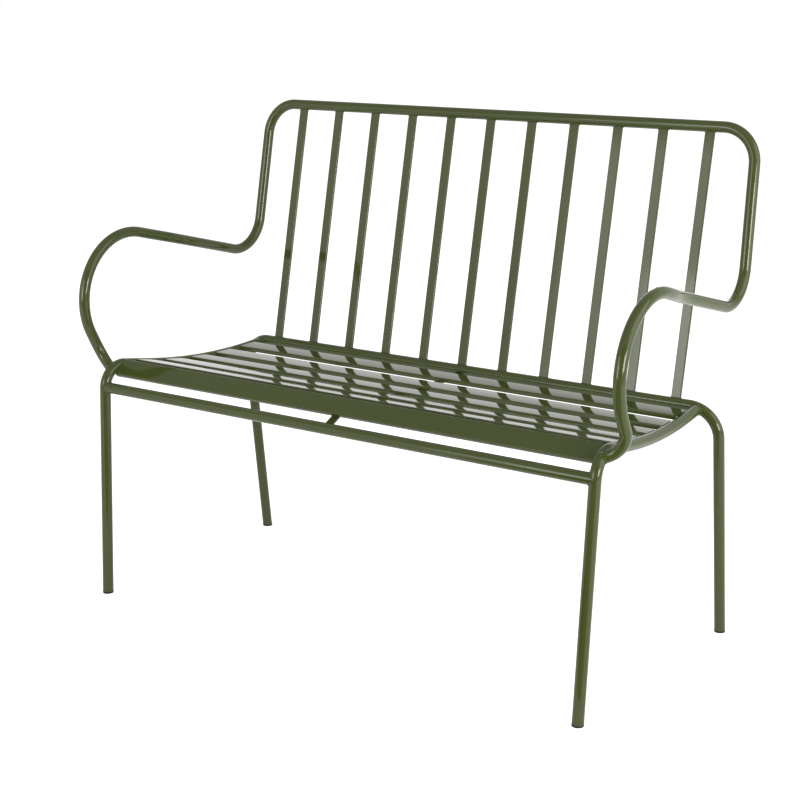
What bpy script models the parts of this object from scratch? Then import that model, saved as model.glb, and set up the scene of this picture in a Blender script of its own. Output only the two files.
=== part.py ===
"""Painted steel garden bench, in metres, +Z up, +X along the seat, +Y to the back.

A tube loop makes the top rail, both uprights and both arms. Its ends are coped
onto the bends of two front legs, which run back as side rails to an arched
rear leg frame. Folded sheet slats make the seat, flat bars the back, and a
strap runs under the seat from the front stretcher to the rear rail. The
origin is on the floor, in the middle of the bench.
"""

import math

import bmesh
import bpy
from mathutils import Matrix, Vector

# Overall size
OVERALL_WIDTH = 1.1227
OVERALL_DEPTH = 0.5461
OVERALL_HEIGHT = 0.9017

# Frame tube
TUBE_DIAMETER = 0.0200
TUBE_WALL = 0.0014
JOINT_GAP = 0.0003

# Insets are measured sideways from the outermost tube's centre line to the centre line of
# each part. Depths are measured back from the front feet, or forward from the top rail.
# Heights above the floor hang on the corner where the front legs turn into the side rails.

# Front legs and side rails
KNEE_INSET = 0.0378
KNEE_DEPTH = 0.0200
KNEE_HEIGHT = 0.4379
KNEE_RADIUS = 0.0419
FRONT_LEG_SPLAY = -0.00705
SEAT_DIP_DEPTH = 0.2763
SEAT_DIP_DROP = 0.0399
SEAT_DIP_RADIUS = 1.1000
RAIL_REAR_INSET = 0.0654
RAIL_REAR_DROP = 0.0216
RAIL_SETBACK = 0.0040

# Rear leg frame
REAR_LEG_INSET = 0.0260
REAR_RAIL_SET = 0.0921
REAR_RAIL_DROP = 0.0171
REAR_BEND_RADIUS = 0.0540
REAR_LEG_SPLAY = 0.0546

# Back and arm loop
TOP_CORNER_INSET = 0.0219
TOP_BEND_RADIUS = 0.0620
ELBOW_INSET = 0.0135
ELBOW_SET = 0.0468
ELBOW_RISE = 0.1501
ELBOW_RADIUS = 0.0689
FLARE_INSET = 0.0145
FLARE_START_DEPTH = 0.2290
FLARE_LENGTH = 0.0590
FLARE_RADIUS = 0.2400
BOW_CENTRE_DEPTH = 0.1306
BOW_CENTRE_RISE = 0.1091
BOW_RADIUS = 0.1198
HOOK_DEPTH = 0.0541
HOOK_DROP = 0.0018
HOOK_RADIUS = 0.0420
ARM_SEAT_TURN = math.radians(53.2)

# Front stretcher
STRETCHER_DROP = 0.0437

# Seat slats, folded from sheet
SLAT_WIDTH = 0.0420
SLAT_LIP = 0.0078
SLAT_SHEET = 0.0015
SLAT_FOLD_RADIUS = 0.0022
SLAT_DROP = 0.0015
SEAT_SLAT_COUNT = 5
FIRST_SLAT_GAP = 0.0289
LAST_SLAT_MARGIN = 0.0520
FRONT_SLAT_WIDTH = 0.0355
FRONT_SLAT_TILT = math.radians(42.8)
FRONT_SLAT_RISE = 0.0005
FRONT_SLAT_INSET = 0.0080

# Back bars
BACK_BAR_COUNT = 11
BACK_BAR_MARGIN = 0.0814
BACK_BAR_WIDTH = 0.0180
BACK_BAR_THICKNESS = 0.0050
BACK_BAR_EDGE = 0.0010

# Strap under the seat
STRAP_WIDTH = 0.0150
STRAP_THICKNESS = 0.0030
STRAP_LIP_CLEARANCE = 0.0059
STRAP_BEND_RADIUS = 0.0300
STRAP_CLEARANCE = 0.0006

# Foot plugs
PLUG_FLANGE = 0.0037
PLUG_EDGE = 0.0008
PLUG_FIT = 0.0003
PLUG_STEM = 0.0200
PLUG_RIBS = 3
PLUG_RIB_HEIGHT = 0.0010
PLUG_WALL = 0.0022

# Weld beads round the tube joints
BEAD_SIZE = 0.0020

# Points this near to each other are one
MERGE_DISTANCE = 0.00001

# Facets
TUBE_SIDES = 12
CUTTER_SIDES = 20
PLUG_SIDES = 16
BEND_STEP = math.radians(10)
FOLD_STEP = math.radians(45)
SHARP_ANGLE = math.radians(35)

# Paint and plastic
PAINT_COLOUR = (0.089, 0.110, 0.045, 1.0)
PAINT_ROUGHNESS = 0.3
PLUG_COLOUR = (0.012, 0.012, 0.012, 1.0)
PLUG_ROUGHNESS = 0.5

# Centre lines that follow from the sizes
TUBE_RADIUS = TUBE_DIAMETER / 2
FRONT_FOOT_Y = TUBE_RADIUS - OVERALL_DEPTH / 2
BOW_X = OVERALL_WIDTH / 2 - TUBE_RADIUS
TOP_DEPTH = OVERALL_DEPTH - TUBE_DIAMETER
TOP_HEIGHT = OVERALL_HEIGHT - TUBE_RADIUS
REAR_RAIL_DEPTH = TOP_DEPTH - REAR_RAIL_SET
REAR_RAIL_HEIGHT = KNEE_HEIGHT - REAR_RAIL_DROP
TUBE_END_HEIGHT = PLUG_FLANGE + JOINT_GAP
SIDES = {"left": -1, "right": 1}


def clear_scene():
    for item in list(bpy.data.objects):
        bpy.data.objects.remove(item, do_unlink=True)


def new_collection(name):
    collection = bpy.data.collections.new(name)
    bpy.context.scene.collection.children.link(collection)
    return collection


clear_scene()
BENCH = new_collection("garden_bench")
CUTTERS = new_collection("cutters")


def new_material(name, colour, roughness):
    material = bpy.data.materials.new(name)
    material.use_nodes = True
    shader = material.node_tree.nodes["Principled BSDF"]
    shader.inputs["Base Color"].default_value = colour
    shader.inputs["Roughness"].default_value = roughness
    return material


def paint(name):
    return new_material(name + "_paint", PAINT_COLOUR, PAINT_ROUGHNESS)


def add_part(name, mesh, material):
    part = bpy.data.objects.new(name, mesh)
    mesh.name = name
    mesh.materials.clear()
    mesh.materials.append(material)
    mesh.shade_smooth()
    mesh.set_sharp_from_angle(angle=SHARP_ANGLE)
    BENCH.objects.link(part)
    return part


def add_cutter(name, mesh):
    cutter = bpy.data.objects.new(name, mesh)
    cutter.hide_render = True
    cutter.display_type = "WIRE"
    CUTTERS.objects.link(cutter)
    return cutter


def add_boolean(part, cutter, operation="DIFFERENCE"):
    cut = part.modifiers.new(cutter.name, "BOOLEAN")
    cut.solver = "EXACT"
    cut.operation = operation
    cut.object = cutter


def spot(x, depth, height):
    """Point at a depth behind the front feet."""
    return Vector((x, FRONT_FOOT_Y + depth, height))


def arc(before, corner, after, radius):
    """Centre, start, axis and turn of the arc that rounds a corner of a path."""
    back = before - corner
    onward = after - corner
    half_angle = back.angle(onward) / 2
    reach = min(radius / math.tan(half_angle), back.length, onward.length)
    start = corner + back.normalized() * reach
    bisector = (back.normalized() + onward.normalized()).normalized()
    centre = corner + bisector * (reach / math.cos(half_angle))
    axis = onward.cross(back)
    return centre, start, axis, math.pi - 2 * half_angle


def arc_point(centre, start, axis, turn):
    return centre + Matrix.Rotation(turn, 3, axis) @ (start - centre)


def bend(before, corner, after, radius, step=BEND_STEP):
    """Points of the arc that rounds a corner of a path."""
    centre, start, axis, turn = arc(before, corner, after, radius)
    count = max(2, math.ceil(turn / step - 0.01))
    return [arc_point(centre, start, axis, turn * i / count) for i in range(count + 1)]


def rounded_path(corners, radii, step=BEND_STEP):
    """A path through corners, where two corners share their run as their arcs need."""
    reaches = [0.0]
    for before, corner, after, radius in zip(corners, corners[1:], corners[2:], radii):
        reaches.append(radius / math.tan((before - corner).angle(after - corner) / 2))
    reaches.append(0.0)
    limits = [
        start.lerp(end, reach / (reach + next_reach))
        for start, end, reach, next_reach in zip(corners, corners[1:], reaches, reaches[1:])
    ]
    points = [corners[0]]
    for before, corner, after, radius in zip(limits, corners[1:], limits[1:], radii):
        points += bend(before, corner, after, radius, step)
    points.append(corners[-1])
    pairs = zip(points, points[1:])
    return points[:1] + [point for last, point in pairs if (point - last).length > MERGE_DISTANCE]


def mirrored(points):
    return [Vector((-point.x, point.y, point.z)) for point in points]


def tail(path, length):
    """The end of a path, cut to a length."""
    points = [path[-1]]
    for near, far in zip(path[::-1], path[-2::-1]):
        run = (far - near).length
        if run >= length:
            return [near.lerp(far, length / run)] + points
        points.insert(0, far)
        length -= run
    return points


def lengthened(path, length):
    """A path with a length added to both ends."""
    before = path[0] + (path[0] - path[1]).normalized() * length
    after = path[-1] + (path[-1] - path[-2]).normalized() * length
    return [before] + path + [after]


def curve_mesh(name, curve):
    """The mesh of a curve, with its caps welded on."""
    guide = bpy.data.objects.new(name, curve)
    BENCH.objects.link(guide)
    depsgraph = bpy.context.evaluated_depsgraph_get()
    mesh = bpy.data.meshes.new_from_object(guide.evaluated_get(depsgraph))
    bpy.data.objects.remove(guide)
    shape = bmesh.new()
    shape.from_mesh(mesh)
    bmesh.ops.remove_doubles(shape, verts=shape.verts, dist=MERGE_DISTANCE)
    bmesh.ops.recalc_face_normals(shape, faces=shape.faces)
    shape.to_mesh(mesh)
    shape.free()
    return mesh


def line_curve(name, points, dimensions):
    curve = bpy.data.curves.new(name, "CURVE")
    curve.dimensions = dimensions
    spline = curve.splines.new("POLY")
    spline.points.add(len(points) - 1)
    for place, point in zip(spline.points, points):
        place.co = (point[0], point[1], point[2], 1.0)
    return curve


def rod_mesh(name, path, radius, sides, capped):
    curve = line_curve(name, path, "3D")
    curve.bevel_depth = radius
    curve.bevel_resolution = sides // 2 - 2
    curve.use_fill_caps = capped
    return curve_mesh(name, curve)


def ribbon_mesh(name, profile, half_length):
    """A sheet along X with a profile in the plane of Y and Z, its upper face outward."""
    curve = line_curve(name, [(point.y, point.z, 0.0) for point in profile], "2D")
    curve.fill_mode = "NONE"
    curve.extrude = half_length
    mesh = curve_mesh(name, curve)
    mesh.transform(Matrix(((0, 0, 1, 0), (1, 0, 0, 0), (0, 1, 0, 0), (0, 0, 0, 1))))
    if sum(face.normal.z * face.area for face in mesh.polygons) < 0:
        mesh.flip_normals()
    return mesh


def box_mesh(name, size):
    shape = bmesh.new()
    bmesh.ops.create_cube(shape, size=1.0)
    bmesh.ops.scale(shape, vec=size, verts=shape.verts)
    mesh = bpy.data.meshes.new(name)
    shape.to_mesh(mesh)
    shape.free()
    return mesh


def add_wall(part, thickness, offset):
    wall = part.modifiers.new("wall", "SOLIDIFY")
    wall.thickness = thickness
    wall.offset = offset
    wall.use_even_offset = True


def add_tube(name, path):
    """A tube with open ends along a path."""
    mesh = rod_mesh(name, path, TUBE_RADIUS, TUBE_SIDES, capped=False)
    tube = add_part(name, mesh, paint(name))
    add_wall(tube, TUBE_WALL, -1.0)
    return tube


def tube_cutter(name, paths, growth=JOINT_GAP):
    """Solid rods along the paths of tubes, larger than them by a growth."""
    shape = bmesh.new()
    for path in paths:
        path = lengthened(path, growth)
        shape.from_mesh(rod_mesh(name, path, TUBE_RADIUS + growth, CUTTER_SIDES, capped=True))
    mesh = bpy.data.meshes.new(name)
    shape.to_mesh(mesh)
    shape.free()
    return add_cutter(name, mesh)


def front_leg_corners(side):
    """Corners of a front leg and its side rail, from below the floor to the rear."""
    foot = spot(side * (BOW_X - KNEE_INSET + FRONT_LEG_SPLAY), 0.0, 0.0)
    knee = spot(side * (BOW_X - KNEE_INSET), KNEE_DEPTH, KNEE_HEIGHT)
    rear = spot(
        side * (BOW_X - RAIL_REAR_INSET),
        REAR_RAIL_DEPTH - RAIL_SETBACK,
        KNEE_HEIGHT - RAIL_REAR_DROP,
    )
    share = (SEAT_DIP_DEPTH + FRONT_FOOT_Y - knee.y) / (rear.y - knee.y)
    dip = spot(knee.lerp(rear, share).x, SEAT_DIP_DEPTH, KNEE_HEIGHT - SEAT_DIP_DROP)
    below_floor = foot + (foot - knee).normalized() * TUBE_DIAMETER
    return [below_floor, knee, dip, rear]


def front_leg_path(side):
    return rounded_path(front_leg_corners(side), [KNEE_RADIUS, SEAT_DIP_RADIUS])


def knee_arc(side):
    return arc(*front_leg_corners(side)[:3], KNEE_RADIUS)


def rear_frame_corners():
    """Corners of the right half of the rear frame, from below the floor to the middle."""
    x = BOW_X - REAR_LEG_INSET
    foot = spot(x, REAR_RAIL_DEPTH + REAR_LEG_SPLAY, 0.0)
    corner = spot(x, REAR_RAIL_DEPTH, REAR_RAIL_HEIGHT)
    middle = spot(0.0, REAR_RAIL_DEPTH, REAR_RAIL_HEIGHT)
    below_floor = foot + (foot - corner).normalized() * TUBE_DIAMETER
    return [below_floor, corner, middle]


def rear_frame_path():
    right = rounded_path(rear_frame_corners(), [REAR_BEND_RADIUS])[:-1]
    return right + mirrored(right)[::-1]


def at_depth(path, depth):
    """Point and rise angle of a path that runs back, at a depth."""
    y = FRONT_FOOT_Y + depth
    behind = next(i for i, point in enumerate(path) if point.y > y)
    start, end = path[behind - 1], path[behind]
    share = (y - start.y) / (end.y - start.y)
    return start.lerp(end, share), math.atan2(end.z - start.z, end.y - start.y)


def tangent_angle(corner, centre, radius, side):
    """Angle at which a line from a corner touches a circle in the arm's plane."""
    offset = corner - centre
    distance = math.hypot(offset.y, offset.z)
    return math.atan2(offset.z, offset.y) + side * math.acos(radius / distance)


def arm_bow(elbow, hook):
    """Points of the bow in front, from the armrest's line to the hook."""
    centre = spot(BOW_X, BOW_CENTRE_DEPTH, KNEE_HEIGHT + BOW_CENTRE_RISE)
    first = tangent_angle(elbow, centre, BOW_RADIUS, 1)
    last = tangent_angle(hook, centre, BOW_RADIUS, -1) % math.tau
    count = math.ceil((last - first) / BEND_STEP)
    angles = [first + (last - first) * i / count for i in range(count + 1)]
    return [
        centre + BOW_RADIUS * Vector((0, math.cos(angle), math.sin(angle))) for angle in angles
    ]


def loop_path():
    """Centre line from the left arm's end, over the back, to the right arm's end."""
    middle = spot(0.0, TOP_DEPTH, TOP_HEIGHT)
    top_corner = spot(BOW_X - TOP_CORNER_INSET, TOP_DEPTH, TOP_HEIGHT)
    elbow = spot(BOW_X - ELBOW_INSET, TOP_DEPTH - ELBOW_SET, KNEE_HEIGHT + ELBOW_RISE)
    hook = spot(BOW_X, HOOK_DEPTH, KNEE_HEIGHT - HOOK_DROP)
    centre, start, axis, _ = knee_arc(SIDES["right"])
    arm_seat = arc_point(centre, start, axis, ARM_SEAT_TURN)
    bow = arm_bow(elbow, hook)
    armrest = bow[0] - elbow
    flare_start = spot(BOW_X - FLARE_INSET, FLARE_START_DEPTH, 0.0)
    flare_start.z = elbow.z + armrest.z / armrest.y * (flare_start.y - elbow.y)
    flare_end = spot(BOW_X, FLARE_START_DEPTH - FLARE_LENGTH, 0.0)
    flare_end.z = elbow.z + armrest.z / armrest.y * (flare_end.y - elbow.y)
    right = rounded_path(
        [middle, top_corner, elbow, flare_start, flare_end, bow[0]],
        [TOP_BEND_RADIUS, ELBOW_RADIUS, FLARE_RADIUS, FLARE_RADIUS],
    )
    right += bow[1:]
    right += bend(bow[-1], hook, arm_seat, HOOK_RADIUS)[1:]
    right += [arm_seat]
    return mirrored(right)[:0:-1] + right[1:]


def stretcher_path():
    below_floor, knee, _, _ = front_leg_corners(SIDES["right"])
    share = STRETCHER_DROP / (knee.z - below_floor.z)
    end = knee.lerp(below_floor, share)
    return mirrored([end]) + [end]


def slat_profile(centre, tilt, width):
    """Outer line of a folded slat across its width, lip to lip."""
    along = Vector((0, math.cos(tilt), math.sin(tilt)))
    down = Vector((0, math.sin(tilt), -math.cos(tilt)))
    front = centre - along * width / 2
    rear = centre + along * width / 2
    corners = [front + down * SLAT_LIP, front, rear, rear + down * SLAT_LIP]
    return rounded_path(corners, [SLAT_FOLD_RADIUS, SLAT_FOLD_RADIUS], FOLD_STEP)


def add_slat(name, centre, tilt, width, half_length):
    mesh = ribbon_mesh(name, slat_profile(centre, tilt, width), half_length)
    slat = add_part(name, mesh, paint(name))
    add_wall(slat, SLAT_SHEET, -1.0)
    return slat


def knee_crown():
    """Depth and height of the top of the tube at the knee, and its distance from the middle."""
    centre, _, _, _ = knee_arc(SIDES["right"])
    return centre + Vector((0, 0, KNEE_RADIUS + TUBE_RADIUS))


def across_front_slat(distance):
    """Point of the front slat's sheet at a distance from its rear edge."""
    crown = knee_crown()
    along = Vector((0, math.cos(FRONT_SLAT_TILT), math.sin(FRONT_SLAT_TILT)))
    return Vector((0, crown.y, crown.z + FRONT_SLAT_RISE)) - along * distance


def add_front_slat():
    centre = across_front_slat(FRONT_SLAT_WIDTH / 2)
    half_length = knee_crown().x - FRONT_SLAT_INSET
    return add_slat("front_slat", centre, FRONT_SLAT_TILT, FRONT_SLAT_WIDTH, half_length)


def seat_slat_depths():
    first = knee_crown().y - FRONT_FOOT_Y + FIRST_SLAT_GAP + SLAT_WIDTH / 2
    last = REAR_RAIL_DEPTH - LAST_SLAT_MARGIN
    pitch = (last - first) / (SEAT_SLAT_COUNT - 1)
    return [first + pitch * i for i in range(SEAT_SLAT_COUNT)]


def add_seat_slats():
    slats = []
    rail = front_leg_path(SIDES["right"])
    for number, depth in enumerate(seat_slat_depths(), 1):
        axis, tilt = at_depth(rail, depth)
        up = Vector((0, -math.sin(tilt), math.cos(tilt)))
        centre = Vector((0, axis.y, axis.z)) + up * (TUBE_RADIUS - SLAT_DROP)
        slats.append(add_slat(f"seat_slat_{number}", centre, tilt, SLAT_WIDTH, axis.x))
    return slats


def add_back_bar(name, x):
    top = spot(x, TOP_DEPTH, TOP_HEIGHT)
    bottom = spot(x, REAR_RAIL_DEPTH, REAR_RAIL_HEIGHT)
    rise = top - bottom
    mesh = box_mesh(name, (BACK_BAR_WIDTH, BACK_BAR_THICKNESS, rise.length))
    lean = Matrix.Rotation(-math.atan2(rise.y, rise.z), 4, "X")
    mesh.transform(Matrix.Translation(top.lerp(bottom, 0.5)) @ lean)
    bar = add_part(name, mesh, paint(name))
    edge = bar.modifiers.new("edge", "BEVEL")
    edge.width = BACK_BAR_EDGE
    edge.segments = 1
    return bar


def strap_path():
    """Middle of the strap's thickness, from the stretcher's centre into the rear rail."""
    start = stretcher_path()[-1]
    start.x = 0
    down = Vector((0, math.sin(FRONT_SLAT_TILT), -math.cos(FRONT_SLAT_TILT)))
    lip = across_front_slat(FRONT_SLAT_WIDTH) + down * SLAT_LIP
    below_lip = lip - Vector((0, 0, STRAP_LIP_CLEARANCE + STRAP_THICKNESS / 2))
    sag = SEAT_DIP_RADIUS - math.sqrt(SEAT_DIP_RADIUS**2 - (SLAT_WIDTH / 2) ** 2)
    below_rail = (
        SLAT_DROP + SLAT_LIP - TUBE_RADIUS + sag + STRAP_CLEARANCE + STRAP_THICKNESS / 2
    )
    _, knee, dip, rear = front_leg_corners(SIDES["right"])
    rail_slope = (dip.z - knee.z) / (dip.y - knee.y)
    rise_slope = (below_lip.z - start.z) / (below_lip.y - start.y)
    knee_line = knee.z - below_rail - rail_slope * knee.y
    start_line = start.z - rise_slope * start.y
    turn_y = (knee_line - start_line) / (rise_slope - rail_slope)
    turn = Vector((0, turn_y, start_line + rise_slope * turn_y))
    low = Vector((0, dip.y, dip.z - below_rail))
    end = Vector((0, rear.y, rear.z - below_rail))
    return rounded_path([start, turn, low, end], [STRAP_BEND_RADIUS, SEAT_DIP_RADIUS])


def add_strap():
    mesh = ribbon_mesh("seat_strap", strap_path(), STRAP_WIDTH / 2)
    strap = add_part("seat_strap", mesh, paint("seat_strap"))
    add_wall(strap, STRAP_THICKNESS, 0.0)
    return strap


def plug_profile():
    """Half section of a plug, from its hollow's floor round the outside to its underside."""
    ribbed = TUBE_RADIUS * math.cos(math.pi / TUBE_SIDES) - TUBE_WALL - PLUG_FIT
    core = ribbed - PLUG_RIB_HEIGHT
    hollow = core - PLUG_WALL
    top = PLUG_FLANGE + PLUG_STEM
    rib_pitch = PLUG_STEM / (PLUG_RIBS + 1)
    points = [(0.0, PLUG_FLANGE), (hollow, PLUG_FLANGE), (hollow, top), (core, top)]
    for i in range(1, PLUG_RIBS + 1):
        height = top - rib_pitch * i
        points += [
            (core, height + PLUG_RIB_HEIGHT),
            (ribbed, height),
            (core, height - PLUG_RIB_HEIGHT),
        ]
    points += [
        (core, PLUG_FLANGE),
        (TUBE_RADIUS - PLUG_FIT, PLUG_FLANGE),
        (TUBE_RADIUS, PLUG_FLANGE - PLUG_FIT),
        (TUBE_RADIUS, PLUG_EDGE),
        (TUBE_RADIUS - PLUG_EDGE, 0.0),
        (0.0, 0.0),
    ]
    return points


def plug_mesh():
    """An upright plug, turned round Z."""
    points = plug_profile()
    profile = bpy.data.meshes.new("plug_profile")
    edges = [(i, i + 1) for i in range(len(points) - 1)]
    profile.from_pydata([(x, 0.0, z) for x, z in points], edges, [])
    lathe = bpy.data.objects.new("plug_profile", profile)
    BENCH.objects.link(lathe)
    turn = lathe.modifiers.new("turn", "SCREW")
    turn.steps = PLUG_SIDES
    turn.render_steps = PLUG_SIDES
    turn.use_merge_vertices = True
    turn.merge_threshold = MERGE_DISTANCE
    depsgraph = bpy.context.evaluated_depsgraph_get()
    mesh = bpy.data.meshes.new_from_object(lathe.evaluated_get(depsgraph))
    bpy.data.objects.remove(lathe)
    return mesh


def add_plug(name, below_floor, corner):
    """A plug in the end of a leg, its stem leaning with the leg and its flange flat."""
    leg = corner - below_floor
    lean_x = leg.x / leg.z
    lean_y = leg.y / leg.z
    mesh = plug_mesh()
    foot = below_floor - leg * below_floor.z / leg.z
    lean = Matrix(((1, 0, lean_x, foot.x), (0, 1, lean_y, foot.y), (0, 0, 1, 0), (0, 0, 0, 1)))
    mesh.transform(lean)
    return add_part(name, mesh, new_material(name + "_plastic", PLUG_COLOUR, PLUG_ROUGHNESS))


def add_weld(name, branch, grown_main, cutters):
    """A bead round the line where the end of a tube meets another tube."""
    path = lengthened(tail(branch, TUBE_DIAMETER), BEAD_SIZE)
    mesh = rod_mesh(name, path, TUBE_RADIUS + BEAD_SIZE, CUTTER_SIDES, capped=True)
    weld = add_part(name, mesh, paint(name))
    add_boolean(weld, grown_main, "INTERSECT")
    for cutter in cutters:
        add_boolean(weld, cutter)


def floor_cutter():
    mesh = box_mesh("floor_cut", (2 * OVERALL_WIDTH, 2 * OVERALL_DEPTH, 2 * TUBE_END_HEIGHT))
    depth = 4 * TUBE_DIAMETER
    mesh.transform(Matrix.Scale(depth / TUBE_END_HEIGHT, 4, (0, 0, 1)))
    mesh.transform(Matrix.Translation((0, 0, TUBE_END_HEIGHT - depth)))
    return add_cutter("floor_cut", mesh)


def build():
    legs = {name: front_leg_path(side) for name, side in SIDES.items()}
    loop = loop_path()
    rear_frame = rear_frame_path()
    stretcher = stretcher_path()

    floor_cut = floor_cutter()
    leg_cut = tube_cutter("front_leg_cut", legs.values())
    rear_cut = tube_cutter("rear_frame_cut", [rear_frame])
    loop_cut = tube_cutter("loop_cut", [loop])
    stretcher_cut = tube_cutter("stretcher_cut", [stretcher])
    leg_growth = tube_cutter("front_leg_growth", legs.values(), BEAD_SIZE)
    rear_growth = tube_cutter("rear_frame_growth", [rear_frame], BEAD_SIZE)

    add_boolean(add_tube("back_arm_loop", loop), leg_cut)
    add_boolean(add_tube("rear_leg_frame", rear_frame), floor_cut)
    for name, path in legs.items():
        leg = add_tube("front_leg_" + name, path)
        add_boolean(leg, floor_cut)
        add_boolean(leg, rear_cut)
    add_boolean(add_tube("front_stretcher", stretcher), leg_cut)

    for slat in [add_front_slat()] + add_seat_slats():
        add_boolean(slat, leg_cut)

    reach = BOW_X - REAR_LEG_INSET - BACK_BAR_MARGIN
    for i in range(BACK_BAR_COUNT):
        x = reach * (2 * i / (BACK_BAR_COUNT - 1) - 1)
        bar = add_back_bar(f"back_bar_{i + 1}", x)
        add_boolean(bar, loop_cut)
        add_boolean(bar, rear_cut)

    strap = add_strap()
    add_boolean(strap, stretcher_cut)
    add_boolean(strap, rear_cut)

    rear_foot, rear_corner, _ = rear_frame_corners()
    for name, side in SIDES.items():
        below_floor, knee, _, _ = front_leg_corners(side)
        add_plug("front_plug_" + name, below_floor, knee)
        ends = [rear_foot, rear_corner] if side > 0 else mirrored([rear_foot, rear_corner])
        add_plug("rear_plug_" + name, *ends)

        arm = loop if side > 0 else loop[::-1]
        rung = stretcher if side > 0 else stretcher[::-1]
        add_weld("arm_weld_" + name, arm, leg_growth, [leg_cut, loop_cut])
        add_weld("stretcher_weld_" + name, rung, leg_growth, [leg_cut, stretcher_cut])
        add_weld("rail_weld_" + name, legs[name], rear_growth, [rear_cut, leg_cut])


build()
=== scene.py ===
"""Render scene of the painted steel garden bench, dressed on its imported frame.

The frame's tubes, slats, back bars and plugs are remade here with fine surfaces on the
same centre lines, and the welds as beads that follow the lines where pieces meet.
"""

import math
from functools import partial

import bmesh
import bpy
from mathutils import Matrix, Vector


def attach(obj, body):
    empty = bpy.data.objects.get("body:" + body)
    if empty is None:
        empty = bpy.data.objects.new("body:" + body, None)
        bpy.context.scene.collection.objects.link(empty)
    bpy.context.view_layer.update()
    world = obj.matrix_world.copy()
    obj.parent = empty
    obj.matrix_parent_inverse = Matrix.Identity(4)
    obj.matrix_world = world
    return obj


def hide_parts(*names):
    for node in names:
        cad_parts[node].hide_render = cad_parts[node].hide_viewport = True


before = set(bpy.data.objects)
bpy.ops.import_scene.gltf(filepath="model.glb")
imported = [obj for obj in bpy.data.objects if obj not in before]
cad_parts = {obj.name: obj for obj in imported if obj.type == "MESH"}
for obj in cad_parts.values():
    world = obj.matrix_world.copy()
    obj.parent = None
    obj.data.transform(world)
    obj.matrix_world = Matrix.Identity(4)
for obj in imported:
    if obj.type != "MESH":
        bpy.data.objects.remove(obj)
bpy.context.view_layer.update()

# All lengths are in metres. Insets run sideways from the outermost tube's centre line.
# Depths run back from the front feet, and the sets forward from the top rail. Heights hang
# on the knee's corner.

# Overall size and frame tube
OVERALL_WIDTH = 1.1227
OVERALL_DEPTH = 0.5461
OVERALL_HEIGHT = 0.9017
TUBE_RADIUS = 0.0100

# Front legs and side rails
KNEE_INSET = 0.0378
KNEE_DEPTH = 0.0200
KNEE_HEIGHT = 0.4379
KNEE_RADIUS = 0.0419
FRONT_LEG_SPLAY = -0.00705
SEAT_DIP_DEPTH = 0.2763
SEAT_DIP_DROP = 0.0399
SEAT_DIP_RADIUS = 1.1000
RAIL_REAR_INSET = 0.0654
RAIL_REAR_DROP = 0.0216
RAIL_SETBACK = 0.0040

# Rear leg frame
REAR_LEG_INSET = 0.0260
REAR_RAIL_SET = 0.0921
REAR_RAIL_DROP = 0.0171
REAR_BEND_RADIUS = 0.0540
REAR_LEG_SPLAY = 0.0546

# Back and arm loop
TOP_CORNER_INSET = 0.0219
TOP_BEND_RADIUS = 0.0620
ELBOW_INSET = 0.0135
ELBOW_SET = 0.0468
ELBOW_RISE = 0.1501
ELBOW_RADIUS = 0.0689
FLARE_INSET = 0.0145
FLARE_MIDDLE_DEPTH = 0.1995
FLARE_SPREAD = 0.1400
BOW_CENTRE_DEPTH = 0.1306
BOW_CENTRE_RISE = 0.1091
BOW_RADIUS = 0.1198
HOOK_DEPTH = 0.0541
HOOK_DROP = 0.0018
HOOK_RADIUS = 0.0420
ARM_SEAT_TURN = math.radians(53.2)

# Front stretcher
STRETCHER_DROP = 0.0437

# Seat slats
SLAT_WIDTH = 0.0420
SLAT_LIP = 0.0078
SLAT_SHEET = 0.0015
SLAT_FOLD_RADIUS = 0.0022
SLAT_DROP = 0.0015
SLAT_GAP = 0.0010
SEAT_SLAT_COUNT = 5
FIRST_SLAT_GAP = 0.0289
LAST_SLAT_MARGIN = 0.0520
FRONT_SLAT_WIDTH = 0.0355
FRONT_SLAT_TILT = math.radians(42.8)
FRONT_SLAT_RISE = 0.0005
FRONT_SLAT_INSET = 0.0080

# Back bars
BACK_BAR_COUNT = 11
BACK_BAR_MARGIN = 0.0814
BACK_BAR_WIDTH = 0.0180
BACK_BAR_THICKNESS = 0.0050
BACK_BAR_EDGE = 0.0011

# Foot plugs, where one point between the two ends of the lower edge rounds it
PLUG_FLANGE = 0.0037
PLUG_EDGE = 0.0008
PLUG_EDGE_MIDDLE = 0.3 * PLUG_EDGE
PLUG_SHOULDER = 0.0003

# Radii of the weld beads, and where those at the slats' ends lie on the tubes' skin
TUBE_BEAD = 0.0016
BAR_BEAD = 0.0011
SLAT_BEAD = 0.0013
SLAT_BEAD_LENGTH = 0.0340
SLAT_BEAD_HEIGHT = 0.0059
FRONT_BEAD_LENGTH = 0.0310
FRONT_BEAD_DEPTH = 0.0014

# Fineness of the surfaces
TUBE_SIDES = 36
BEAD_SIDES = 12
BEND_STEP = math.radians(2.5)
FOLD_STEP = math.radians(15)
LEAST_BEND_STEPS = 2
ARM_STEP = 0.004
BAR_EDGE_STEPS = 4
SLAT_BEAD_STEPS = 8
SEAM_POINTS = 48
SHARP_EDGE = math.radians(40)
BAR_SHARP_EDGE = math.radians(5)

# Share of a step by which a bend may be longer without one more step
STEP_SLACK = 0.01

# Distance within which points merge
MERGE_DISTANCE = 0.00001

# How far round the foot of a leg its end ring reaches
END_RING_REACH = 1.05 * TUBE_RADIUS

# How far from a tube's end its seam is looked for, and how often that search halves
SEAM_REACH = 3 * TUBE_RADIUS
SEARCH_STEPS = 18

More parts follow.
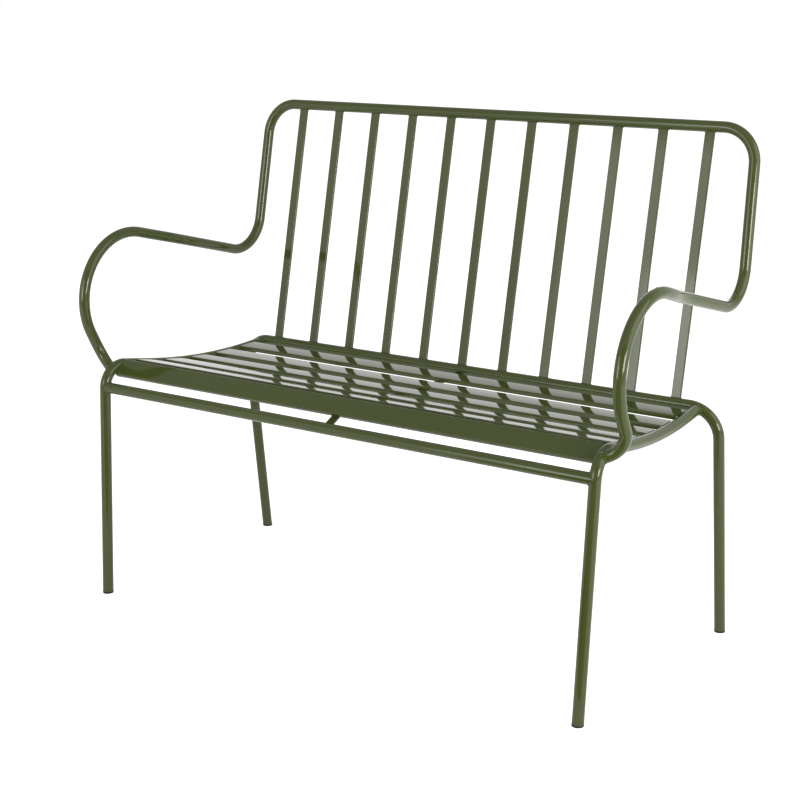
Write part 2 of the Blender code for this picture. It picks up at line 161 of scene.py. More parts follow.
# Paint and plastic: each noise is a scale and a detail, each grain a strength and a depth
PAINT_DARK = (0.0385, 0.0490, 0.0108, 1.0)
PAINT_LIGHT = (0.0425, 0.0538, 0.0120, 1.0)
PAINT_IOR = 1.36
PAINT_ROUGHNESS = (0.06, 0.09)
PAINT_TONE_NOISE = (9.0, 3.0)
PAINT_GLOSS_NOISE = (40.0, 2.0)
PAINT_PEEL_NOISE = (700.0, 1.0)
PAINT_PEEL = (0.05, 0.0002)
PLASTIC_BLACK = (0.010, 0.010, 0.010, 1.0)
PLASTIC_IOR = 1.33
PLASTIC_ROUGHNESS = (0.5, 0.7)
PLASTIC_GLOSS_NOISE = (120.0, 3.0)
PLASTIC_GRAIN_NOISE = (2500.0, 2.0)
PLASTIC_GRAIN = (0.25, 0.0001)
NOISE_REACH = (0.3, 0.7)

# Floor and world
WHITE = (1.0, 1.0, 1.0, 1.0)
FLOOR_HALF = 30.0
FLOOR_COLOUR = (0.85, 0.85, 0.85, 1.0)
FLOOR_GLOW = 0.55
WORLD_LIGHT = 0.70

# Softboxes: name, place, target, size and power
LIGHTS = (
    ("right_box", (2.60, 0.30, 1.60), (0.5, 0.0, 0.6), (2.4, 2.4), 40.0),
    ("right_strip", (3.10, -0.93, 0.88), (0.5, 0.2, 0.8), (1.1, 0.8), 52.0),
    ("front_wide_box", (-1.90, -3.50, 1.50), (-1.90, 0.0, 1.5), (4.0, 1.8), 17.5),
    ("front_box", (-0.78, -3.40, 1.20), (-0.78, 0.0, 1.2), (2.20, 1.6), 26.0),
    ("front_low_box", (-0.60, -3.30, 0.85), (-0.60, 0.0, 0.85), (1.60, 1.10), 23.0),
    ("back_box", (-2.70, 4.20, 1.45), (0.0, 0.0, 0.5), (5.0, 2.4), 13.0),
)

# Dark card: where its two sides lie, turned from straight ahead towards the right, and the
# line that it follows on both, as reach and height
CARD_ANGLES = (math.radians(-10.0), math.radians(60.0))
CARD_LINE = ((0.7, 0.003), (5.0, 0.003), (5.0, 4.0))
CARD_GREY = 0.10

# Grey card overhead
CEILING_X = (-4.5, 3.0)
CEILING_Y = (-3.0, 3.0)
CEILING_HEIGHT = 3.2
CEILING_GREY = 0.70

# Camera, as fitted to the photograph, with its depth behind the front feet
CAMERA_X = 1.5960
CAMERA_DEPTH = -2.0238
CAMERA_HEIGHT = 1.0730
CAMERA_AZIMUTH = math.radians(33.1678)
CAMERA_ELEVATION = math.radians(12.9620)
CAMERA_ROLL = math.radians(0.7820)
CAMERA_LENS = 71.714
CAMERA_SENSOR = 36.0
CAMERA_SHIFT = (-0.0707, -0.0234)
CAMERA_CLIP = (0.1, 100.0)

# Centre lines that follow from the sizes
FRONT_FOOT_Y = TUBE_RADIUS - OVERALL_DEPTH / 2
BOW_X = OVERALL_WIDTH / 2 - TUBE_RADIUS
TOP_DEPTH = OVERALL_DEPTH - 2 * TUBE_RADIUS
TOP_HEIGHT = OVERALL_HEIGHT - TUBE_RADIUS
REAR_RAIL_DEPTH = TOP_DEPTH - REAR_RAIL_SET
REAR_RAIL_HEIGHT = KNEE_HEIGHT - REAR_RAIL_DROP
SIDES = {"left": -1, "right": 1}


def spot(x, depth, height):
    """Point at a depth behind the front feet."""
    return Vector((x, FRONT_FOOT_Y + depth, height))


def tilted(tilt):
    """Directions along and up from a line that runs back and rises by a tilt."""
    along = Vector((0, math.cos(tilt), math.sin(tilt)))
    up = Vector((0, -math.sin(tilt), math.cos(tilt)))
    return along, up


# Paths


def arc(before, corner, after, radius):
    """Centre, start, axis and turn of the arc that rounds a corner of a path."""
    back = before - corner
    onward = after - corner
    half_angle = back.angle(onward) / 2
    reach = min(radius / math.tan(half_angle), back.length, onward.length)
    start = corner + back.normalized() * reach
    bisector = (back.normalized() + onward.normalized()).normalized()
    centre = corner + bisector * (reach / math.cos(half_angle))
    return centre, start, onward.cross(back), math.pi - 2 * half_angle


def arc_point(centre, start, axis, turn):
    return centre + Matrix.Rotation(turn, 3, axis) @ (start - centre)


def bend(before, corner, after, radius, step=BEND_STEP):
    """Points along the arc that rounds a corner of a path."""
    centre, start, axis, turn = arc(before, corner, after, radius)
    count = max(LEAST_BEND_STEPS, math.ceil(turn / step - STEP_SLACK))
    return [arc_point(centre, start, axis, turn * i / count) for i in range(count + 1)]


def rounded_path(corners, radii, step=BEND_STEP):
    """A path through corners, where two corners share their run as their arcs need."""
    reaches = [0.0]
    for before, corner, after, radius in zip(corners, corners[1:], corners[2:], radii):
        reaches.append(radius / math.tan((before - corner).angle(after - corner) / 2))
    reaches.append(0.0)
    limits = [
        start.lerp(end, reach / (reach + next_reach))
        for start, end, reach, next_reach in zip(corners, corners[1:], reaches, reaches[1:])
    ]
    points = [corners[0]]
    for before, corner, after, radius in zip(limits, corners[1:], limits[1:], radii):
        points += bend(before, corner, after, radius, step)
    points.append(corners[-1])
    pairs = zip(points, points[1:])
    return points[:1] + [point for last, point in pairs if (point - last).length > MERGE_DISTANCE]


def mirrored(points):
    return [Vector((-point.x, point.y, point.z)) for point in points]


def front_leg_corners(side):
    """Foot, knee, lowest point and rear end of a front leg and its side rail."""
    foot = spot(side * (BOW_X - KNEE_INSET + FRONT_LEG_SPLAY), 0.0, 0.0)
    knee = spot(side * (BOW_X - KNEE_INSET), KNEE_DEPTH, KNEE_HEIGHT)
    rear = spot(
        side * (BOW_X - RAIL_REAR_INSET),
        REAR_RAIL_DEPTH - RAIL_SETBACK,
        KNEE_HEIGHT - RAIL_REAR_DROP,
    )
    share = (SEAT_DIP_DEPTH + FRONT_FOOT_Y - knee.y) / (rear.y - knee.y)
    dip = spot(knee.lerp(rear, share).x, SEAT_DIP_DEPTH, KNEE_HEIGHT - SEAT_DIP_DROP)
    return [foot, knee, dip, rear]


def front_leg_path(side):
    return rounded_path(front_leg_corners(side), [KNEE_RADIUS, SEAT_DIP_RADIUS])


def knee_arc(side):
    foot, knee, dip, _ = front_leg_corners(side)
    return arc(foot, knee, dip, KNEE_RADIUS)


def rear_frame_corners():
    """Right foot, right corner and middle of the rear leg frame."""
    x = BOW_X - REAR_LEG_INSET
    foot = spot(x, REAR_RAIL_DEPTH + REAR_LEG_SPLAY, 0.0)
    corner = spot(x, REAR_RAIL_DEPTH, REAR_RAIL_HEIGHT)
    return [foot, corner, spot(0.0, REAR_RAIL_DEPTH, REAR_RAIL_HEIGHT)]


def rear_frame_path():
    right = rounded_path(rear_frame_corners(), [REAR_BEND_RADIUS])[:-1]
    return right + mirrored(right)[::-1]


def tangent_angle(corner, centre, radius, side):
    """Angle at which a line from a corner touches a circle in the arm's plane."""
    offset = corner - centre
    distance = math.hypot(offset.y, offset.z)
    return math.atan2(offset.z, offset.y) + side * math.acos(radius / distance)


def arm_bow(elbow, hook):
    """Points round the arm's bow, from the armrest's line to the hook's."""
    centre = spot(BOW_X, BOW_CENTRE_DEPTH, KNEE_HEIGHT + BOW_CENTRE_RISE)
    first = tangent_angle(elbow, centre, BOW_RADIUS, 1)
    last = tangent_angle(hook, centre, BOW_RADIUS, -1) % math.tau
    count = math.ceil((last - first) / BEND_STEP)
    angles = [first + (last - first) * i / count for i in range(count + 1)]
    return [
        centre + BOW_RADIUS * Vector((0, math.cos(angle), math.sin(angle))) for angle in angles
    ]


def flare(depth):
    """How far the arm has swung outward at a depth, as two arcs that meet halfway."""
    share = (FLARE_MIDDLE_DEPTH + FLARE_SPREAD / 2 - depth) / FLARE_SPREAD
    share = max(0.0, min(1.0, share))
    if share < 0.5:
        return FLARE_INSET * 2 * share**2
    return FLARE_INSET * (1 - 2 * (1 - share) ** 2)


def loop_path():
    """Centre line from the left arm's end, over the back, to the right arm's end."""
    middle = spot(0.0, TOP_DEPTH, TOP_HEIGHT)
    top_corner = spot(BOW_X - TOP_CORNER_INSET, TOP_DEPTH, TOP_HEIGHT)
    elbow = spot(BOW_X - ELBOW_INSET, TOP_DEPTH - ELBOW_SET, KNEE_HEIGHT + ELBOW_RISE)
    hook = spot(BOW_X, HOOK_DEPTH, KNEE_HEIGHT - HOOK_DROP)
    bow = arm_bow(elbow, hook)

    # The arm is laid out without its outward swing, which is then added point by point
    swing = Vector((FLARE_INSET, 0, 0))
    corners = [middle, top_corner, elbow, bow[0] - swing]
    right = rounded_path(corners, [TOP_BEND_RADIUS, ELBOW_RADIUS])
    arm_start = right.pop(-2)
    arm_end = right.pop()
    steps = math.ceil((arm_end - arm_start).length / ARM_STEP)
    arm = [arm_start.lerp(arm_end, i / steps) for i in range(steps)]
    arm += [point - swing for point in bow]
    right += [point + Vector((flare(point.y - FRONT_FOOT_Y), 0, 0)) for point in arm]

    centre, start, axis, _ = knee_arc(SIDES["right"])
    arm_seat = arc_point(centre, start, axis, ARM_SEAT_TURN)
    right += bend(bow[-1], hook, arm_seat, HOOK_RADIUS)[1:]
    right.append(arm_seat)
    return mirrored(right)[:0:-1] + right[1:]


def stretcher_path():
    foot, knee, _, _ = front_leg_corners(SIDES["right"])
    end = knee.lerp(foot, STRETCHER_DROP / knee.z)
    return mirrored([end]) + [end]


def at_depth(path, depth):
    """Point and tilt of a path that runs back, at a depth."""
    y = FRONT_FOOT_Y + depth
    behind = next(i for i, point in enumerate(path) if point.y > y)
    start, end = path[behind - 1], path[behind]
    share = (y - start.y) / (end.y - start.y)
    return start.lerp(end, share), math.atan2(end.z - start.z, end.y - start.y)


def distance_to(point, path):
    """Shortest distance from a point to a path."""
    best = math.inf
    for start, end in zip(path, path[1:]):
        run = end - start
        share = max(0.0, min(1.0, (point - start).dot(run) / run.length_squared))
        best = min(best, (start + run * share - point).length)
    return best


def tail(path, length):
    """The end of a path, cut to a length."""
    points = [path[-1]]
    for near, far in zip(path[::-1], path[-2::-1]):
        run = (far - near).length
        if run >= length:
            return [near.lerp(far, length / run)] + points
        points.insert(0, far)
        length -= run
    return points


def place_on(path, share):
    """Point and direction of a path at a share of its length."""
    runs = [(end - start).length for start, end in zip(path, path[1:])]
    left = share * sum(runs)
    for run, start, end in zip(runs, path, path[1:]):
        if left <= run:
            return start.lerp(end, left / run), (end - start).normalized()
        left -= run
    return path[-1], (path[-1] - path[-2]).normalized()


def entry(point_at, main):
    """Point where point_at, run from 0 outside to 1 inside, enters the tube round a path."""
    outside, inside = 0.0, 1.0
    for _ in range(SEARCH_STEPS):
        share = (outside + inside) / 2
        point = point_at(share)
        if distance_to(point, main) > TUBE_RADIUS:
            outside = share
        else:
            inside = share
    return point


def skin_reach(offset):
    """How far a tube's skin is from its middle plane, at an offset along that plane."""
    return math.sqrt(TUBE_RADIUS**2 - offset**2)


# Materials


def socket(node, name, value):
    node.inputs[name].default_value = value


def new_node(tree, kind, **values):
    node = tree.nodes.new(kind)
    for name, value in values.items():
        setattr(node, name, value)
    return node


def object_noise(tree, scale, detail):
    """Factor of a noise that is fixed to the object."""
    place = new_node(tree, "ShaderNodeTexCoord")
    noise = new_node(tree, "ShaderNodeTexNoise")
    socket(noise, "Scale", scale)
    socket(noise, "Detail", detail)
    tree.links.new(place.outputs["Object"], noise.inputs["Vector"])
    return noise.outputs["Fac"]


def vary_value(tree, noise, target, values):
    spread = new_node(tree, "ShaderNodeMapRange")
    ends = ("From Min", "From Max", "To Min", "To Max")
    for name, value in zip(ends, NOISE_REACH + values):
        socket(spread, name, value)
    tree.links.new(noise, spread.inputs["Value"])
    tree.links.new(spread.outputs["Result"], target)


def vary_colour(tree, noise, target, colours):
    ramp = new_node(tree, "ShaderNodeValToRGB")
    for stop, position, colour in zip(ramp.color_ramp.elements, NOISE_REACH, colours):
        stop.position = position
        stop.color = colour
    tree.links.new(noise, ramp.inputs["Fac"])
    tree.links.new(ramp.outputs["Color"], target)


def add_bump(tree, noise, target, strength, distance):
    bump = new_node(tree, "ShaderNodeBump")
    socket(bump, "Strength", strength)
    socket(bump, "Distance", distance)
    tree.links.new(noise, bump.inputs["Height"])
    tree.links.new(bump.outputs["Normal"], target)


def grained_material(name, ior, roughness, gloss_noise, grain_noise, grain):
    """Material, tree and shader of a surface with uneven gloss and a fine grain."""
    material = bpy.data.materials.new(name)
    material.use_nodes = True
    tree = material.node_tree
    shader = tree.nodes["Principled BSDF"]
    socket(shader, "IOR", ior)
    vary_value(tree, object_noise(tree, *gloss_noise), shader.inputs["Roughness"], roughness)
    add_bump(tree, object_noise(tree, *grain_noise), shader.inputs["Normal"], *grain)
    return material, tree, shader


def powder_coat():
    """Glossy olive powder coat with a fine orange peel."""
    material, tree, shader = grained_material(
        "olive_powder_coat", PAINT_IOR, PAINT_ROUGHNESS,
        PAINT_GLOSS_NOISE, PAINT_PEEL_NOISE, PAINT_PEEL,
    )
    tone = object_noise(tree, *PAINT_TONE_NOISE)
    vary_colour(tree, tone, shader.inputs["Base Color"], (PAINT_DARK, PAINT_LIGHT))
    return material


def plug_plastic():
    """Matt black moulded plastic with a fine grain."""
    material, _, shader = grained_material(
        "black_plastic", PLASTIC_IOR, PLASTIC_ROUGHNESS,
        PLASTIC_GLOSS_NOISE, PLASTIC_GRAIN_NOISE, PLASTIC_GRAIN,
    )
    socket(shader, "Base Color", PLASTIC_BLACK)
    return material


PAINT = powder_coat()
PLASTIC = plug_plastic()


# Meshes


def new_object(name, data):
    item = bpy.data.objects.new(name, data)
    bpy.context.scene.collection.objects.link(item)
    return item


def new_mesh(shape, name):
    """Mesh of a bmesh, which is freed."""
    mesh = bpy.data.meshes.new(name)
    shape.to_mesh(mesh)
    shape.free()
    return mesh


def close_up(shape):
    """Merges the double points of a closed bmesh and turns its faces outward."""
    bmesh.ops.remove_doubles(shape, verts=shape.verts, dist=MERGE_DISTANCE)
    bmesh.ops.recalc_face_normals(shape, faces=shape.faces)


def bridge(shape, last, line):
    """Faces between two lines of a bmesh's points."""
    for a, b, c, d in zip(last, last[1:], line[1:], line):
        shape.faces.new((a, b, c, d))


def evaluated_mesh(item):
    """Mesh of an object as its bevel or its modifiers shape it."""
    depsgraph = bpy.context.evaluated_depsgraph_get()
    return bpy.data.meshes.new_from_object(item.evaluated_get(depsgraph))


def joined(meshes):
    shape = bmesh.new()
    for mesh in meshes:
        shape.from_mesh(mesh)
    return new_mesh(shape, "joined")


def trimmed(mesh, cutters):
    """A mesh less some solids, as a mesh."""
    guide = new_object("guide", mesh)
    tools = [new_object("tool", cutter) for cutter in cutters]
    for tool in tools:
        cut = guide.modifiers.new("cut", "BOOLEAN")
        cut.solver = "EXACT"
        cut.object = tool
    result = evaluated_mesh(guide)
    for item in [guide] + tools:
        bpy.data.objects.remove(item)
    return result


def curve_mesh(curve):
    guide = new_object("guide", curve)
    mesh = evaluated_mesh(guide)
    bpy.data.objects.remove(guide)
    shape = bmesh.new()
    shape.from_mesh(mesh)
    close_up(shape)
    shape.to_mesh(mesh)
    shape.free()
    return mesh


def line_curve(points, dimensions="3D", cyclic=False):
    curve = bpy.data.curves.new("line", "CURVE")
    curve.dimensions = dimensions
    spline = curve.splines.new("POLY")
    spline.points.add(len(points) - 1)
    for place, point in zip(spline.points, points):
        place.co = (*point, 1.0)
    spline.use_cyclic_u = cyclic
    return curve


def rod_mesh(path, radius=TUBE_RADIUS, sides=TUBE_SIDES, cyclic=False):
    """A round rod along a path. A bevel has four sides, and two more a step."""
    curve = line_curve(path, cyclic=cyclic)
    curve.bevel_depth = radius
    curve.bevel_resolution = (sides - 4) // 2
    curve.use_fill_caps = not cyclic
    return curve_mesh(curve)


def bead_mesh(line, radius, cyclic=True):
    return rod_mesh(line, radius, BEAD_SIDES, cyclic)


# Pieces


def add_piece(name, mesh, material, slot, *nodes, sharp=SHARP_EDGE):
    """Adds a mesh to the bench, in the place of the nodes that it stands for."""
    mesh.materials.clear()
    mesh.materials.append(material)
    mesh.shade_smooth()
    mesh.set_sharp_from_angle(angle=sharp)
    piece = new_object(name, mesh)
    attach(piece, "root")
    if nodes:
        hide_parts(*nodes)


def add_painted(name, mesh, *nodes, sharp=SHARP_EDGE):
    add_piece(name, mesh, PAINT, "paint", *nodes, sharp=sharp)


def above_floor(path):
    """A leg's path with its first point lifted to the top of the plug's flange."""
    lift = PLUG_FLANGE / (path[1].z - path[0].z)
    return [path[0].lerp(path[1], lift)] + path[1:]


def level_end(mesh, foot):
    """Sets the end ring of a leaning leg level on the plug's flange."""
    for vertex in mesh.vertices:
        if (vertex.co - foot).length < END_RING_REACH:
            vertex.co.z = PLUG_FLANGE


def add_tubes(loop, rear, legs, rung):
    add_painted("arm_and_back_tube", rod_mesh(loop), "back_arm_loop")
    path = above_floor(above_floor(rear)[::-1])
    mesh = rod_mesh(path)
    level_end(mesh, path[0])
    level_end(mesh, path[-1])
    add_painted("rear_leg_tube", mesh, "rear_leg_frame")
    for name, leg in legs.items():
        path = above_floor(leg)
        mesh = rod_mesh(path)
        level_end(mesh, path[0])
        add_painted("front_leg_tube_" + name, mesh, "front_leg_" + name)
    add_painted("stretcher_tube", rod_mesh(rung), "front_stretcher")


def slat_mesh(centre, tilt, width, half_length):
    """A folded slat: sheet along X with a lip on both long sides."""
    along, up = tilted(tilt)

    def lip_to_lip(inset):
        front = centre - along * (width / 2 - inset) - up * inset
        rear = centre + along * (width / 2 - inset) - up * inset
        lip = up * (SLAT_LIP - inset)
        corners = [front - lip, front, rear, rear - lip]
        radius = SLAT_FOLD_RADIUS - inset
        return rounded_path(corners, [radius, radius], FOLD_STEP)

    outline = lip_to_lip(0.0) + lip_to_lip(SLAT_SHEET)[::-1]
    curve = line_curve([(point.y, point.z, 0.0) for point in outline], "2D", cyclic=True)
    curve.fill_mode = "BOTH"
    curve.extrude = half_length
    mesh = curve_mesh(curve)
    lying_to_standing = Matrix(((0, 0, 1), (1, 0, 0), (0, 1, 0))).to_4x4()
    mesh.transform(lying_to_standing)
    return mesh


def slat_places(rail):
    """Centre, tilt, width, half length and node of each slat, the front one first."""
    centre, _, _, _ = knee_arc(SIDES["right"])
    crown = centre + Vector((0, 0, KNEE_RADIUS + TUBE_RADIUS))
    along, _ = tilted(FRONT_SLAT_TILT)
    middle = Vector((0, crown.y, crown.z + FRONT_SLAT_RISE)) - along * FRONT_SLAT_WIDTH / 2
    reach = crown.x - FRONT_SLAT_INSET
    places = [(middle, FRONT_SLAT_TILT, FRONT_SLAT_WIDTH, reach, "front_slat")]
    first = crown.y - FRONT_FOOT_Y + FIRST_SLAT_GAP + SLAT_WIDTH / 2
    last = REAR_RAIL_DEPTH - LAST_SLAT_MARGIN
    for i in range(SEAT_SLAT_COUNT):
        depth = first + (last - first) * i / (SEAT_SLAT_COUNT - 1)
        axis, tilt = at_depth(rail, depth)
        _, up = tilted(tilt)
        middle = Vector((0, axis.y, axis.z)) + up * (TUBE_RADIUS - SLAT_DROP)
        places.append((middle, tilt, SLAT_WIDTH, axis.x, f"seat_slat_{i + 1}"))
    return places


def bead_offsets(length):
    """Distances from a bead's middle to its points, in equal steps."""
    return [length * (i / SLAT_BEAD_STEPS - 0.5) for i in range(SLAT_BEAD_STEPS + 1)]


def slat_end_bead(rail, depth):
    """Line on the inner flank of the right rail, under the end of a slat."""
    inward = Vector((skin_reach(SLAT_BEAD_HEIGHT), 0, 0))
    line = []
    for offset in bead_offsets(SLAT_BEAD_LENGTH):
        axis, tilt = at_depth(rail, depth + offset)
        _, up = tilted(tilt)
        line.append(axis + up * SLAT_BEAD_HEIGHT - inward)
    return line


def front_slat_bead(middle, leg):
    """Line on the inner flank of the right knee, at the end of the front slat."""
    along, up = tilted(FRONT_SLAT_TILT)
    centre, _, _, _ = knee_arc(SIDES["right"])
    line = []
    for offset in bead_offsets(FRONT_BEAD_LENGTH):
        point = middle + along * offset - up * FRONT_BEAD_DEPTH
        outside = Vector((centre.x - 2 * TUBE_RADIUS, point.y, point.z))
        inside = Vector((centre.x, point.y, point.z))
        line.append(entry(partial(outside.lerp, inside), leg))
    return line


def add_slats(legs):
    """Slats cut to the side rails, with a weld bead at both ends."""
    cutters = [rod_mesh(path, TUBE_RADIUS + SLAT_GAP) for path in legs.values()]
    for middle, tilt, width, reach, node in slat_places(legs["right"]):
        mesh = trimmed(slat_mesh(middle, tilt, width, reach), cutters)
        if node == "front_slat":
            right = front_slat_bead(middle, legs["right"])
        else:
            right = slat_end_bead(legs["right"], middle.y - FRONT_FOOT_Y)
        beads = [bead_mesh(line, SLAT_BEAD, cyclic=False) for line in (right, mirrored(right))]
        add_painted("bead_" + node, joined(beads))
        add_painted("sheet_" + node, mesh, node)


def bar_outline():
    """Rounded section of a back bar, along its width and its thickness."""
    quarter = math.pi / 2
    line = []
    for turn, (side_x, side_y) in enumerate(((1, 1), (-1, 1), (-1, -1), (1, -1))):
        centre_x = side_x * (BACK_BAR_WIDTH / 2 - BACK_BAR_EDGE)
        centre_y = side_y * (BACK_BAR_THICKNESS / 2 - BACK_BAR_EDGE)
        for i in range(BAR_EDGE_STEPS + 1):
            swing = turn * quarter + i * quarter / BAR_EDGE_STEPS
            line.append((
                centre_x + BACK_BAR_EDGE * math.cos(swing),
                centre_y + BACK_BAR_EDGE * math.sin(swing),
            ))
    return line


def bar_end(centre, toward, thick):
    """Closed line where a bar's skin meets the skin of the tube that carries it."""
    return [
        centre + Vector((wide, 0, 0)) + toward * skin_reach(deep) + thick * deep
        for wide, deep in bar_outline()
    ]


def bar_mesh(low_end, high_end):
    """A closed bar between the lines of its two ends."""
    shape = bmesh.new()
    low = [shape.verts.new(point) for point in low_end]
    high = [shape.verts.new(point) for point in high_end]
    bridge(shape, low + low[:1], high + high[:1])
    shape.faces.new(low)
    shape.faces.new(high)
    bmesh.ops.recalc_face_normals(shape, faces=shape.faces)
    return new_mesh(shape, "bar")


def add_bars():
    """Flat bars between the rear rail and the top rail, with a weld bead round both ends."""
    bottom = spot(0, REAR_RAIL_DEPTH, REAR_RAIL_HEIGHT)
    top = spot(0, TOP_DEPTH, TOP_HEIGHT)
    rise = (top - bottom).normalized()
    thick = Vector((0, -rise.z, rise.y))
    reach = BOW_X - REAR_LEG_INSET - BACK_BAR_MARGIN
    for i in range(BACK_BAR_COUNT):
        aside = Vector((reach * (2 * i / (BACK_BAR_COUNT - 1) - 1), 0, 0))
        low = bar_end(bottom + aside, rise, thick)
        high = bar_end(top + aside, -rise, thick)
        beads = [bead_mesh(line, BAR_BEAD) for line in (low, high)]
        node = f"back_bar_{i + 1}"
        add_painted(f"flat_bar_{i + 1}", bar_mesh(low, high), node, sharp=BAR_SHARP_EDGE)
        add_painted("bead_" + node, joined(beads))


def paint_strap():
    """The seat strap stays as the frame has it, and gets the paint."""
    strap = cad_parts["seat_strap"]
    strap.data.materials.clear()
    strap.data.materials.append(PAINT)


def seam(branch, main):
    """Closed line where the skin of a tube's end meets the skin of another tube."""
    end = tail(branch, SEAM_REACH)
    _, forward = place_on(end, 1.0)
    side = forward.orthogonal().normalized()

    def skin(angle, share):
        centre, ahead = place_on(end, share)
        across = (side - ahead * side.dot(ahead)).normalized()
        outward = Matrix.Rotation(angle, 3, ahead) @ across
        return centre + outward * TUBE_RADIUS

    angles = [math.tau * i / SEAM_POINTS for i in range(SEAM_POINTS)]
    return [entry(partial(skin, angle), main) for angle in angles]


def add_tube_welds(loop, rear, legs, rung):
    for name, side in SIDES.items():
        leg = legs[name]
        arm = loop if side > 0 else loop[::-1]
        step = rung if side > 0 else rung[::-1]
        joints = {"arm": (arm, leg), "stretcher": (step, leg), "rail": (leg, rear)}
        for joint, (branch, main) in joints.items():
            node = f"{joint}_weld_{name}"
            add_painted("bead_" + node, bead_mesh(seam(branch, main), TUBE_BEAD), node)


def plug_mesh():
    """The flange of a plug, turned round Z."""
    profile = [
        (0.0, PLUG_FLANGE),
        (TUBE_RADIUS - PLUG_SHOULDER, PLUG_FLANGE),
        (TUBE_RADIUS, PLUG_FLANGE - PLUG_SHOULDER),
        (TUBE_RADIUS, PLUG_EDGE),
        (TUBE_RADIUS - PLUG_EDGE_MIDDLE, PLUG_EDGE_MIDDLE),
        (TUBE_RADIUS - PLUG_EDGE, 0.0),
        (0.0, 0.0),
    ]
    shape = bmesh.new()
    turned = []
    for i in range(TUBE_SIDES):
        angle = math.tau * i / TUBE_SIDES
        right, ahead = math.cos(angle), math.sin(angle)
        turned.append([shape.verts.new((right * x, ahead * x, z)) for x, z in profile])
    for last, line in zip(turned, turned[1:] + turned[:1]):
        bridge(shape, last, line)
    close_up(shape)
    return new_mesh(shape, "plug")


def add_plugs():
    for name, side in SIDES.items():
        feet = {"front": front_leg_corners(side)[0], "rear": rear_frame_corners()[0]}
        for end, foot in feet.items():
            mesh = plug_mesh()
            mesh.transform(Matrix.Translation((side * abs(foot.x), foot.y, 0)))
            node = f"{end}_plug_{name}"
            add_piece("foot_" + node, mesh, PLASTIC, "plug_plastic", node)


# Studio


def plain_material(name):
    """Material and its tree, without nodes."""
    material = bpy.data.materials.new(name)
    material.use_nodes = True
    material.node_tree.nodes.clear()
    return material, material.node_tree


def seen_ray(tree):
    """One for a ray from the camera, a reflection or a clear material, else nothing."""
    path = new_node(tree, "ShaderNodeLightPath")
    seen = path.outputs["Is Camera Ray"]
    for kind in ("Is Glossy Ray", "Is Transmission Ray"):
        either = new_node(tree, "ShaderNodeMath", operation="MAXIMUM")
        tree.links.new(seen, either.inputs[0])
        tree.links.new(path.outputs[kind], either.inputs[1])
        seen = either.outputs[0]
    return seen


def show_when_seen(tree, output, unseen, seen):
    """Gives one shader to the rays that light the scene, and another to those that show it."""
    mix = new_node(tree, "ShaderNodeMixShader")
    tree.links.new(seen_ray(tree), mix.inputs["Fac"])
    tree.links.new(unseen.outputs[0], mix.inputs[1])
    tree.links.new(seen.outputs[0], mix.inputs[2])
    tree.links.new(mix.outputs[0], output.inputs["Surface"])


def floor_material():
    """White floor that keeps a faint shadow and stays white to the camera and in gloss."""
    material, tree = plain_material("white_floor")
    output = new_node(tree, "ShaderNodeOutputMaterial")
    white = new_node(tree, "ShaderNodeBsdfDiffuse")
    socket(white, "Color", FLOOR_COLOUR)
    glow = new_node(tree, "ShaderNodeEmission")
    socket(glow, "Strength", FLOOR_GLOW)
    both = new_node(tree, "ShaderNodeAddShader")
    tree.links.new(white.outputs[0], both.inputs[0])
    tree.links.new(glow.outputs[0], both.inputs[1])
    show_when_seen(tree, output, white, both)
    return material


def add_floor():
    shape = bmesh.new()
    bmesh.ops.create_grid(shape, x_segments=1, y_segments=1, size=FLOOR_HALF)
    mesh = new_mesh(shape, "floor")
    mesh.materials.append(floor_material())
    floor = new_object("floor", mesh)


def add_card(name, rows, grey):
    """A sheet through rows of points, which only gloss picks up."""
    shape = bmesh.new()
    lines = [[shape.verts.new(point) for point in row] for row in rows]
    for last, line in zip(lines, lines[1:]):
        bridge(shape, last, line)
    mesh = new_mesh(shape, name)
    material, tree = plain_material(name)
    output = new_node(tree, "ShaderNodeOutputMaterial")
    glow = new_node(tree, "ShaderNodeEmission")
    socket(glow, "Strength", grey)
    tree.links.new(glow.outputs[0], output.inputs["Surface"])
    mesh.materials.append(material)
    card = new_object(name, mesh)
    card.visible_camera = False
    card.visible_diffuse = False
    card.visible_transmission = False
    card.visible_shadow = False


def add_cards():
    """A dark card from the floor up behind the camera, and a grey one overhead."""
    rows = []
    for angle in CARD_ANGLES:
        right, ahead = math.sin(angle), -math.cos(angle)
        rows.append([(right * reach, ahead * reach, height) for reach, height in CARD_LINE])
    add_card("dark_card", rows, CARD_GREY)
    rows = [[(x, y, CEILING_HEIGHT) for y in CEILING_Y] for x in CEILING_X]
    add_card("ceiling_card", rows, CEILING_GREY)


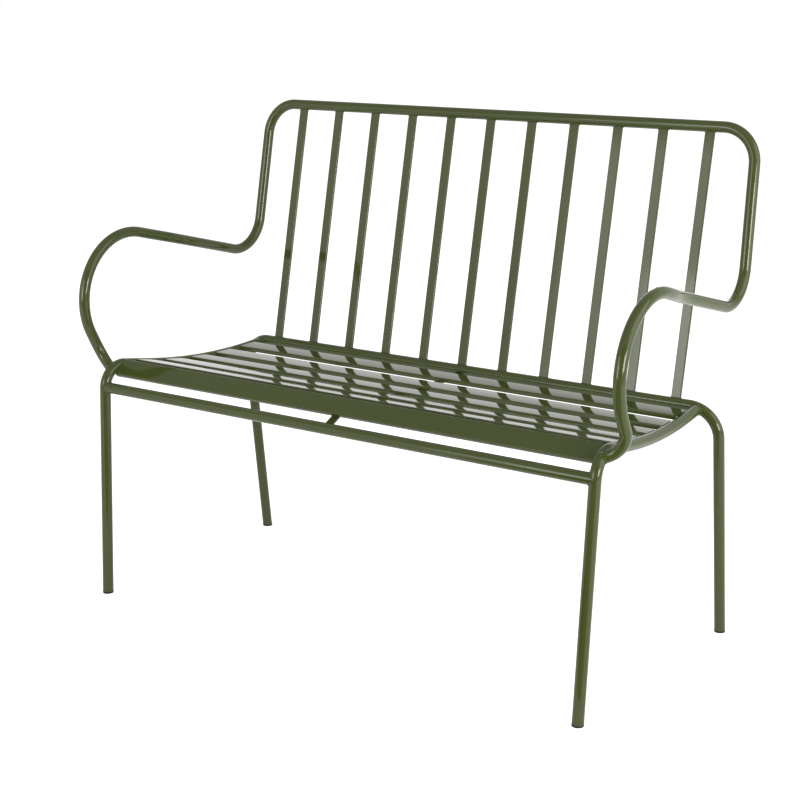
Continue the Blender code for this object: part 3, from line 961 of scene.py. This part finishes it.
def set_world():
    """White to the camera and in gloss, a softer grey as light."""
    world = bpy.data.worlds.new("studio")
    bpy.context.scene.world = world
    world.use_nodes = True
    tree = world.node_tree
    tree.nodes.clear()
    output = new_node(tree, "ShaderNodeOutputWorld")
    light = new_node(tree, "ShaderNodeBackground")
    socket(light, "Color", WHITE)
    socket(light, "Strength", WORLD_LIGHT)
    white = new_node(tree, "ShaderNodeBackground")
    socket(white, "Color", WHITE)
    socket(white, "Strength", 1.0)
    show_when_seen(tree, output, light, white)


def add_softbox(name, place, target, size, power):
    light = bpy.data.lights.new(name, "AREA")
    light.shape = "RECTANGLE"
    light.size, light.size_y = size
    light.energy = power
    lamp = new_object(name, light)
    lamp.location = place
    aim = Vector(target) - Vector(place)
    lamp.rotation_euler = aim.to_track_quat("-Z", "Y").to_euler()


def add_camera():
    data = bpy.data.cameras.new("camera")
    data.sensor_width = CAMERA_SENSOR
    data.lens = CAMERA_LENS
    data.shift_x, data.shift_y = CAMERA_SHIFT
    data.clip_start, data.clip_end = CAMERA_CLIP
    back = Vector((
        math.sin(CAMERA_AZIMUTH) * math.cos(CAMERA_ELEVATION),
        -math.cos(CAMERA_AZIMUTH) * math.cos(CAMERA_ELEVATION),
        math.sin(CAMERA_ELEVATION),
    ))
    right = Vector((math.cos(CAMERA_AZIMUTH), math.sin(CAMERA_AZIMUTH), 0))
    up = back.cross(right)
    across = right * math.cos(CAMERA_ROLL) + up * math.sin(CAMERA_ROLL)
    rise = up * math.cos(CAMERA_ROLL) - right * math.sin(CAMERA_ROLL)
    turn = Matrix((across, rise, back)).transposed().to_4x4()
    camera = new_object("camera", data)
    place = spot(CAMERA_X, CAMERA_DEPTH, CAMERA_HEIGHT)
    camera.matrix_world = Matrix.Translation(place) @ turn
    bpy.context.scene.camera = camera


add_camera()
set_world()
add_floor()
add_cards()
for softbox in LIGHTS:
    add_softbox(*softbox)

LOOP = loop_path()
REAR = rear_frame_path()
LEGS = {name: front_leg_path(side) for name, side in SIDES.items()}
RUNG = stretcher_path()
add_tubes(LOOP, REAR, LEGS, RUNG)
add_slats(LEGS)
add_bars()
paint_strap()
add_tube_welds(LOOP, REAR, LEGS, RUNG)
add_plugs()

bpy.context.scene.view_settings.view_transform = "Standard"
